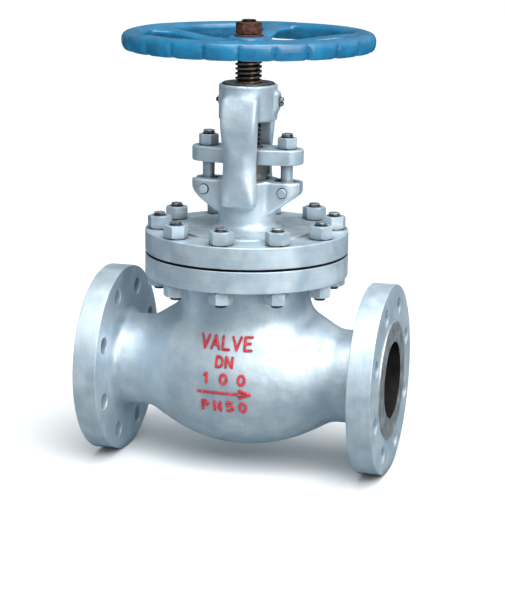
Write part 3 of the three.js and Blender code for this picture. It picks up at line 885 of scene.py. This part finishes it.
def bonnet():
    step = 1.7
    axes = (stations(-82, 82, step), stations(-68, 68, step), stations(176, HUB_TOP + 5, step))
    piece = make("bonnet_look", *net(bonnet_outside, axes))
    join(piece, bonnet_rim())
    ways = [(0, 149), (24.9, 149), (24.9, 172.3), (STEM_R + 1.2, 172.3), (STEM_R + 1.2, BOX_LOW)]
    ways += [(BOX_BORE, BOX_LOW), (BOX_BORE, BOX_TOP - 1), (BOX_BORE + 3, BOX_TOP + 2), (0, BOX_TOP + 2)]
    nut_way = [(0, YOKE_LOW - 5), (28.3, YOKE_LOW - 5), (28.3, HUB_TOP - 5), (34.3, HUB_TOP - 5)]
    nut_way += [(34.3, HUB_TOP - 0.8), (37, HUB_TOP + 2), (0, HUB_TOP + 2)]
    cutters = [turned("ways", ways), turned("nut_way", nut_way)]
    cutters.append(turned("arm_way", [(0, 259), (30, 259), (30, 334), (0, 334)]))
    for side in (-1, 1):
        near, far = sorted((side * (GLAND_X - 15), side * 90))
        slot = prism("slot", [(near, -8.8), (far, -8.8), (far, 8.8), (near, 8.8)], 205, BOX_TOP + 5)
        cutters.append(slot)
        cutters.append(shift(drill("pin_hole", PIN_R + 0.3, -LUG_R, LUG_R, "y"), x=side * GLAND_X, z=PIN_Z))
    for x, y in circle(STUD_COUNT, STUD_CIRCLE_R, -math.pi / 2):
        cutters.append(shift(drill("hole", STUD_HOLE_R, BONNET_LOW, JOINT_TOP), x, y))
    cutters.append(shift(turned("screw_hole", [(0, 25), (4.3, 25), (4.3, 60), (0, 60)], "x", 32), z=BOSS_Z))
    nipple_hole = turned("nipple_hole", [(0, -60), (3.3, -60), (3.3, -35), (0, -35)], "x", 32)
    cutters.append(shift(nipple_hole, z=BOSS_Z))
    cut(piece, *cutters)
    soften(piece)

    def choose(at, normal):
        out = np.hypot(at[:, 0], at[:, 1])
        slots = np.zeros(len(at))
        slots[at[:, 2] < JOINT_TOP + 0.1] = 1
        slots[(at[:, 2] > JOINT_TOP + 0.1) & (at[:, 2] < JOINT_TOP + STEP_HIGH + 0.1) & (out > 54)] = 2
        # Faces below the flange and in the bores take the near-black inside finish, a painted shade.
        slots[(at[:, 2] < BONNET_LOW - 0.1) | (out < BOX_BORE + 0.1) & (at[:, 2] < BOX_TOP)] = 3
        slots[(out < 28.4) & (at[:, 2] > 330)] = 3
        return slots

    paint(piece, CAST, TURNED_Z, FLAT_TOP, INSIDE, choose=choose)
    return finish_piece(piece, "root", "silver_paint", "bonnet")


# ------------------------------------------------------------ bolting


def hex_nut(name, flats, hole, high):
    """A chamfered hexagon nut standing on z = 0."""
    corner = flats / math.sqrt(3)
    outline = [(corner * math.cos(i * math.pi / 3), corner * math.sin(i * math.pi / 3)) for i in range(6)]
    nut = prism(name, outline, 0, high)
    slope, edge = 0.55, flats / 2 * 0.95
    drop = (corner + 1 - edge) * slope
    cones = [(0, 0), (edge, 0), (corner + 1, drop), (corner + 1, high - drop), (edge, high), (0, high)]
    overlap(nut, turned("cones", cones))
    bore = [(0, -1), (hole + 2.2, -1), (hole, 1.2), (hole, high - 1.2), (hole + 2.2, high + 1), (0, high + 1)]
    cut(nut, turned("bore", bore, sides=48))
    bevel(nut, 0.45, 2, 25)
    return soften(nut, 25)


def copy_of(pattern, name, x, y, z, turn):
    piece = bpy.data.objects.new(name, pattern.data.copy())
    bpy.context.scene.collection.objects.link(piece)
    return shift(piece, x, y, z, turn)


def bonnet_bolting():
    """Ten studs with a heavy nut at each end."""
    high = heights("upper_nut_1")[1] - heights("upper_nut_1")[0]
    flats = 2 * (span("upper_nut_1")[1][1] - middle("upper_nut_1")[1])
    nut = paint(hex_nut("nut", flats, STUD_R + 0.1, high), CAST)
    stud = thread("stud", STUD_R, 1.3, STUD_PITCH, STUD_LOW, STUD_TOP, (0.12, 0.14), 32)
    paint(soften(stud, 30), BOLT)
    for i in range(1, STUD_COUNT + 1):
        x, y, _ = middle(f"bonnet_stud_{i}")
        piece = copy_of(stud, f"bonnet_stud_{i}_look", x, y, 0, dice.uniform(0, 6))
        finish_piece(piece, "root", "silver_paint", f"bonnet_stud_{i}")
        for place in ("upper", "lower"):
            node = f"{place}_nut_{i}"
            turn = dice.uniform(-0.5, 0.5) + math.pi / 6
            piece = copy_of(nut, f"{node}_look", x, y, heights(node)[0], turn)
            finish_piece(piece, "root", "silver_paint", node)
    bpy.data.objects.remove(nut)
    bpy.data.objects.remove(stud)


# ------------------------------------------------------------ gland


def gland():
    """Follower, flange, eyebolts with their pins and nuts."""
    low, high = heights("gland_follower")
    inner = STEM_R + 0.3
    sleeve = [(inner, low), (25.3, low), (25.3, 270), (27, 270), (27, high), (inner + 0.4, high)]
    follower = turned("gland_follower_look", rounded(sleeve, 0.8))
    soften(follower)
    finish_piece(paint(follower, MACHINED), "root", "machined_steel", "gland_follower")

    outline = []
    ends, half_turn = math.degrees(GLAND_TURN), 180
    for cx, first in ((GLAND_X, 0), (-GLAND_X, half_turn)):
        outline += arc(cx, 0, LUG_R, LUG_R, first - ends, first + ends, 24)
        outline += arc(0, 0, WAIST_R, WAIST_R, first + ends, first + half_turn - ends, 24)
    flange = prism("gland_flange_look", outline, FLANGE_LOW, FLANGE_HIGH)
    bevel(flange, 2.2, 3, 50)
    seat = [(0, 275), (27.4, 275), (27.4, high + 0.3), (19, high + 0.3), (19, 299), (22, 305), (0, 305)]
    holes = [shift(drill("hole", 9, FLANGE_LOW, FLANGE_HIGH, chamfer=0.8), x=x) for x in (-GLAND_X, GLAND_X)]
    cut(flange, turned("seat", seat), *holes)
    soften(flange)
    finish_piece(paint(flange, CAST), "root", "silver_paint", "gland_flange")

    nut = paint(hex_nut("gland_nut", 24, 8.1, 14.5), CAST)
    for name, x in (("left", -GLAND_X), ("right", GLAND_X)):
        top = heights(f"gland_eyebolt_{name}")[1]
        eye = shift(turned("eye", rounded([(0, -8), (14, -8), (14, 8), (0, 8)], 2), "y", 64), z=PIN_Z)
        neck = turned("neck", [(0, PIN_Z + 4), (8, PIN_Z + 4), (8, 282), (0, 282)], sides=48)
        screw = thread("screw", 8, 1.2, 2, 281, top, (0.12, 0.14), 32)
        bolt = join(eye, neck, screw)
        bolt.name = f"gland_eyebolt_{name}_look"
        cut(bolt, shift(drill("pin_way", PIN_R + 0.2, -8, 8, "y"), z=PIN_Z))
        soften(shift(bolt, x), 30)
        bright = paint(bolt, CAST, BOLT, choose=lambda at, normal: at[:, 2] > 300)
        finish_piece(bright, "root", "bolt_steel", f"gland_eyebolt_{name}")
        side = rounded([(0, -PIN_HALF), (PIN_R, -PIN_HALF), (PIN_R, PIN_HALF), (0, PIN_HALF)], 1.2)
        pin = turned(f"gland_pin_{name}_look", side, "y", 48)
        soften(shift(pin, x, 0, PIN_Z))
        finish_piece(paint(pin, CAST), "root", "bolt_steel", f"gland_pin_{name}")
        node = f"gland_nut_{name}"
        piece = copy_of(nut, f"{node}_look", x, 0, heights(node)[0], dice.uniform(-0.4, 0.4))
        finish_piece(piece, "root", "silver_paint", node)
    bpy.data.objects.remove(nut)


# ------------------------------------------------------------ stem and what turns with it


def stem():
    """The stem from its swivel head to the threaded tip that holds the wheel nut."""
    low, top = heights("stem")
    lower = [(0, low), (21, low), (21, 84.5), (13.5, 84.5), (13.5, 126), (22, 132), (22, 145)]
    lower += [(STEM_R, 151), (STEM_R, THREAD_LOW + 2), (STEM_R - 3.4, THREAD_LOW + 4), (0, THREAD_LOW + 4)]
    piece = turned("stem_look", rounded(lower, 0.8), sides=96)
    screw = thread("screw", STEM_R, 3, STEM_PITCH, THREAD_LOW, THREAD_TOP, (0.3, 0.34), 64)
    upper = [(0, 410), (14.3, 410), (14.3, 419), (14, 420), (14, 444), (10, 444), (10, 450), (0, 450)]
    tip = thread("tip", 10, 1.5, 2.5, 446, top, (0.12, 0.14), 40)
    join(piece, screw, turned("upper", upper, sides=96), tip)
    key = prism("keyway", [(-4.2, 9.6), (4.2, 9.6), (4.2, 20), (-4.2, 20)], 422.7, 444.6)
    cut(piece, key)
    soften(piece, 30)
    return finish_piece(paint(piece, STEM), "stem", "stem_steel", "stem")


def wheel():
    """The handwheel, on a grid that runs round the stem so that each finger lobe is alike."""
    around = 2 * math.pi * np.arange(LOBES * int(24 / COARSE)) / (LOBES * int(24 / COARSE))
    axes = (stations(8, WHEEL_R + 4, 1.7), around, stations(WHEEL_LOW - 4, WHEEL_TOP + 4, 1.5))

    def place(r, turn, z):
        return r * np.cos(turn), r * np.sin(turn), z

    def shape(x, y, z):
        return soft_max(handwheel(x, y, z), WHEEL_BORE_R - np.hypot(x, y), 1)

    piece = make("handwheel_look", *net(shape, axes, place, ring=True))
    key = prism("keyway", [(-4.5, 8), (4.5, 8), (4.5, 18.2), (-4.5, 18.2)], WHEEL_LOW - 5, 450)
    cut(piece, key)
    soften(piece, 60)
    return finish_piece(paint(piece, BLUE), "stem", "blue_paint", "handwheel")


def wheel_fixings():
    """Washer and nut that hold the handwheel on the stem."""
    low, high = heights("wheel_washer")
    section = rounded([(10.3, low), (19, low), (19, high), (10.3, high)], 0.6)
    washer = turned("wheel_washer_look", section, sides=64)
    soften(washer)
    finish_piece(paint(washer, OXIDE), "stem", "brown_oxide_steel", "wheel_washer")
    low, high = heights("wheel_nut")
    nut = shift(hex_nut("wheel_nut_look", 30, 10.1, high - low), z=low, turn=0.3)
    finish_piece(paint(nut, OXIDE), "stem", "brown_oxide_steel", "wheel_nut")


def yoke_nut():
    """The bronze nut that the stem screws through, flush with the top of the yoke."""
    low, top = heights("yoke_nut")
    inner = STEM_R + 0.25
    profile = [(inner, low), (26, low), (28, low + 2), (28, HUB_TOP - 4.7), (34, HUB_TOP - 4.7), (34, top)]
    nut = turned("yoke_nut_look", rounded([*profile, (inner, top)], 0.8))
    soften(nut)
    return finish_piece(paint(nut, BRONZE), "root", "bronze", "yoke_nut")


def hub_fittings():
    """The lock screw on one side of the yoke hub and the grease nipple on the other."""
    reach = span("yoke_lock_screw")[1][0]
    head = [(0, 28.4), (4, 28.4), (4, reach - 4), (6, reach - 4), (6, reach), (0, reach)]
    screw = shift(turned("yoke_lock_screw_look", rounded(head, 0.7), "x", 48), z=BOSS_Z)
    slot = prism("slot", [(-8, -0.8), (8, -0.8), (8, 0.8), (-8, 0.8)], reach - 2, reach + 2, "x")
    cut(screw, shift(slot, z=BOSS_Z))
    soften(screw)
    finish_piece(paint(screw, BOLT), "root", "bolt_steel", "yoke_lock_screw")
    tip = -span("grease_nipple")[0][0]
    profile = [(0, 36), (3, 36), (3, tip - 4.7), (5, tip - 4.7), (5, tip - 3.2), (2.2, tip - 2.6)]
    profile += [(3, tip - 1), (2, tip), (0, tip)]
    nipple = turned("grease_nipple_look", rounded(profile, 0.4), "x", 32)
    nipple.data.transform(Matrix.Rotation(math.pi, 4, "Z"))
    soften(shift(nipple, z=BOSS_Z))
    finish_piece(paint(nipple, BRONZE), "root", "bronze", "grease_nipple")


# ------------------------------------------------------------ seat and disc


def trim():
    """Seat ring and disc, in their open place."""
    low, top = heights("seat_ring")
    profile = [(48, low), (53, low), (53, 18.3), (57, 18.3), (57, top), (51.5, top), (48, top - 3.5)]
    ring = turned("seat_ring_look", rounded(profile, 0.6))
    soften(ring)
    finish_piece(paint(ring, MACHINED), "root", "machined_steel", "seat_ring")

    low, top = heights("disc")
    profile = [(0, low), (47, low), (47.5, low + 4.4), (51.8, low + 8.7), (55, low + 8.7), (55, low + 21)]
    profile += [(36, low + 28), (36, top), (27.3, top), (27.3, 84.8), (21.3, 84.8), (21.3, 73.2), (0, 73.2)]
    plug = turned("disc_look", rounded(profile, 0.8))
    soften(plug)
    finish_piece(paint(plug, MACHINED), "disc", "machined_steel", "disc")


def carried_over():
    """CAD nodes whose shape is right already only get their material."""
    finishes = {"packing_ring": GRAPHITE, "bonnet_gasket": GRAPHITE, "backseat_bushing": MACHINED}
    finishes |= {"disc_nut": MACHINED, "wheel_key": STEM}
    for name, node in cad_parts.items():
        for start, material in finishes.items():
            if name.startswith(start):
                node.data.materials.clear()
                node.data.materials.append(material)


# ------------------------------------------------------------ stage, lights and camera

CAMERA_AT = (0.6695, -2.2837, 0.6578)
YAW, PITCH, ROLL = math.radians(16.135), math.radians(13.345), math.radians(0.638)
LENS = 109.27


def stage_floor():
    """A wide pale floor. It isn't seen in the metal's reflections, so the underside stays dark."""
    mesh = bpy.data.meshes.new("floor")
    shell = bmesh.new()
    bmesh.ops.create_circle(shell, cap_ends=True, segments=96, radius=60)
    shell.to_mesh(mesh)
    shell.free()
    floor = bpy.data.objects.new("floor", mesh)
    floor.location.z = -END_R * MM - 0.0004
    floor.visible_glossy = False
    bpy.context.scene.collection.objects.link(floor)
    pale = Finish("floor", metal=0.0, rough=0.7)
    pale.colour(pale.mix(pale.noise(400, 2), (0.84, 0.85, 0.86), (0.88, 0.885, 0.89)))
    floor.data.materials.append(pale.material)


def softbox(name, at, towards, size, power):
    light = bpy.data.lights.new(name, "AREA")
    light.shape, light.size, light.size_y = "RECTANGLE", size[0], size[1]
    light.energy = power
    aim(bpy.data.objects.new(name, light), at, towards)


def aim(lamp, at, towards):
    back = np.subtract(at, towards)
    lamp.location = at
    tilt, turn = math.atan2(math.hypot(back[0], back[1]), back[2]), math.atan2(back[0], -back[1])
    lamp.rotation_euler = (tilt, 0, turn)
    bpy.context.scene.collection.objects.link(lamp)


def lights():
    """A room that is pale above and to the right and dim below and to the left, a soft sun and softboxes."""
    world = bpy.data.worlds.new("studio")
    bpy.context.scene.world = world
    world.use_nodes = True
    room = Finish.__new__(Finish)
    room.tree = world.node_tree
    away = room.tree.nodes.new("ShaderNodeTexCoord").outputs["Generated"]
    parts = room.node("ShaderNodeSeparateXYZ", Vector=away)
    up = room.between(parts.outputs[2], -0.3, 0.65)
    sideways = room.maths("SUBTRACT", parts.outputs[0], room.maths("MULTIPLY", parts.outputs[1], 0.5))
    right = room.between(sideways, -0.9, 1.0, 0.25, 1.0)
    tone = room.mix(room.maths("MULTIPLY", up, right), (0.020, 0.065, 0.095), (0.98, 1.0, 1.0))
    room.feed(room.tree.nodes["Background"].inputs["Color"], tone)
    room.tree.nodes["Background"].inputs["Strength"].default_value = 1.15
    sun = bpy.data.lights.new("sun", "SUN")
    sun.energy, sun.angle = 2.4, math.radians(60)
    aim(bpy.data.objects.new("sun", sun), (1.2, -1.3, 2.6), (0, 0, 0))
    softbox("key", (2.2, -1.9, 1.1), (0, 0, 0.1), (1.8, 2.2), 30)
    softbox("top", (0.2, -0.5, 2.4), (0, 0, 0.1), (1.6, 1.2), 20)


def camera():
    cy, sy, cp, sp = math.cos(YAW), math.sin(YAW), math.cos(PITCH), math.sin(PITCH)
    back = np.array((sy * cp, -cy * cp, sp))
    right = np.array((cy, sy, 0))
    up = np.cross(back, right)
    across = right * math.cos(ROLL) + up * math.sin(ROLL)
    rise = up * math.cos(ROLL) - right * math.sin(ROLL)
    lens = bpy.data.cameras.new("camera")
    lens.lens, lens.sensor_width = LENS, 36
    eye = bpy.data.objects.new("camera", lens)
    columns = np.column_stack([across, rise, back, CAMERA_AT])
    eye.matrix_world = Matrix([*columns.tolist(), [0, 0, 0, 1]])
    bpy.context.scene.collection.objects.link(eye)
    bpy.context.scene.camera = eye


body_casting()
marks()
bonnet()
bonnet_bolting()
gland()
stem()
wheel()
wheel_fixings()
yoke_nut()
hub_fittings()
trim()
carried_over()
stage_floor()
lights()
camera()
bpy.context.scene.view_settings.view_transform = "Standard"
